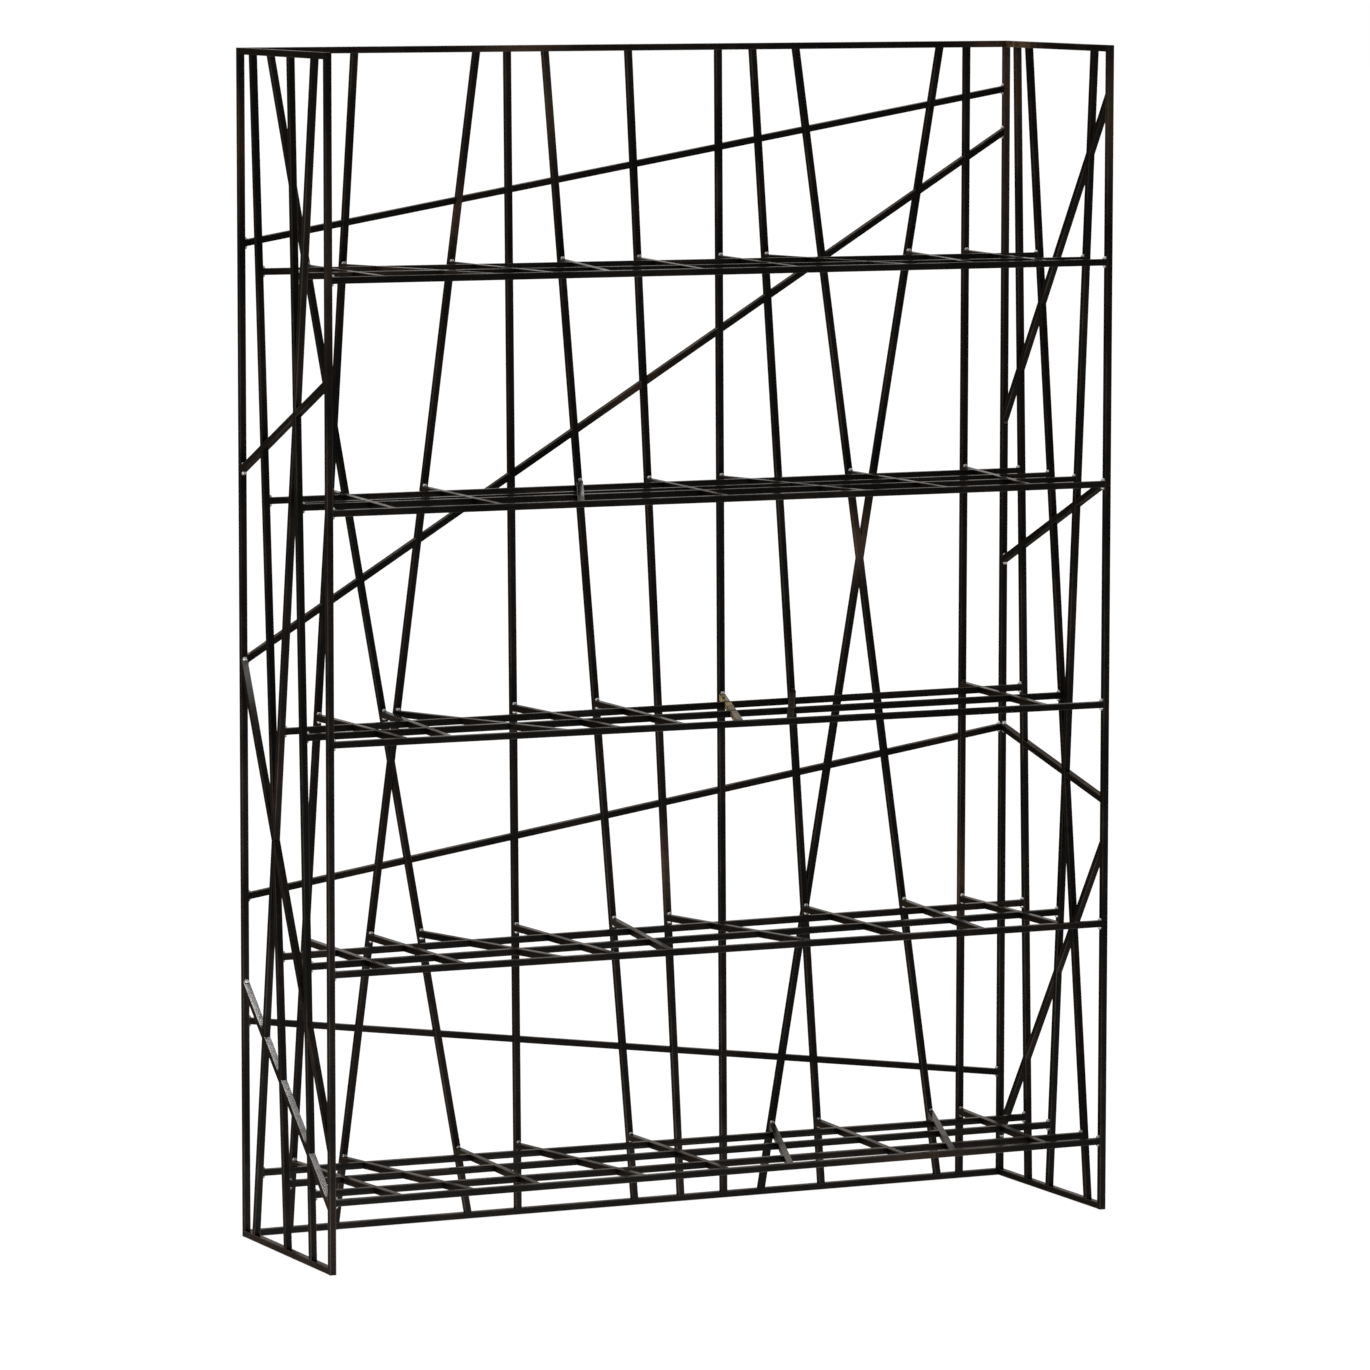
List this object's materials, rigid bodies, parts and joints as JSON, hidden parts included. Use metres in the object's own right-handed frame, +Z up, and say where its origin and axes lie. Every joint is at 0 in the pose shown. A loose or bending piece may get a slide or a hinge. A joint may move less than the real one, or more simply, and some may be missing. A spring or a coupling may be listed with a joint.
{
  "type": "open bookshelf",
  "caption": "Tall open bookshelf welded from thin square steel bar, with leaning uprights, zigzag braces round the back and ends, and level grid shelves of rails and skewed cross bars.",
  "frame": {"origin": "on the floor, under the middle of the bookshelf", "axes": "+Z up, +X to the right seen from the open front, -Y towards the front"},
  "size_m": [1.3, 0.35, 1.8],
  "materials": {
    "dark_steel": "dark bronze patina on square mild steel bar, waxed, with faint brown heat tints",
    "weld_metal": "small fillet welds, brushed to grey steel under the same wax"
  },
  "bodies": {
    "root": {"back_bottom_rail": "dark_steel", "back_brace_1": "dark_steel", "back_brace_2": "dark_steel", "back_brace_3": "dark_steel", "back_brace_4": "dark_steel", "back_panel_welds": "weld_metal", "back_top_rail": "dark_steel", "back_upright_1": "dark_steel", "back_upright_10": "dark_steel", "back_upright_11": "dark_steel", "back_upright_2": "dark_steel", "back_upright_3": "dark_steel", "back_upright_4": "dark_steel", "back_upright_5": "dark_steel", "back_upright_6": "dark_steel", "back_upright_7": "dark_steel", "back_upright_8": "dark_steel", "back_upright_9": "dark_steel", "left_back_post": "dark_steel", "left_bottom_rail": "dark_steel", "left_brace_1": "dark_steel", "left_brace_2": "dark_steel", "left_brace_3": "dark_steel", "left_front_post": "dark_steel", "left_panel_welds": "weld_metal", "left_top_rail": "dark_steel", "left_upright_crossing": "dark_steel", "left_upright_front": "dark_steel", "left_upright_rear": "dark_steel", "right_back_post": "dark_steel", "right_bottom_rail": "dark_steel", "right_brace_1": "dark_steel", "right_brace_2": "dark_steel", "right_brace_3": "dark_steel", "right_brace_4": "dark_steel", "right_front_post": "dark_steel", "right_panel_welds": "weld_metal", "right_top_rail": "dark_steel", "right_upright_crossing": "dark_steel", "right_upright_raking": "dark_steel", "right_upright_rear": "dark_steel", "shelf_1_cross_bars": "dark_steel", "shelf_1_front_rail": "dark_steel", "shelf_1_inner_rails": "dark_steel", "shelf_2_cross_bars": "dark_steel", "shelf_2_front_rail": "dark_steel", "shelf_2_inner_rails": "dark_steel", "shelf_3_cross_bars": "dark_steel", "shelf_3_front_rail": "dark_steel", "shelf_3_inner_rails": "dark_steel", "shelf_4_cross_bars": "dark_steel", "shelf_4_front_rail": "dark_steel", "shelf_4_inner_rails": "dark_steel", "shelf_5_cross_bars": "dark_steel", "shelf_5_front_rail": "dark_steel", "shelf_5_inner_rails": "dark_steel", "shelf_welds": "weld_metal"}
  },
  "joints": []
}
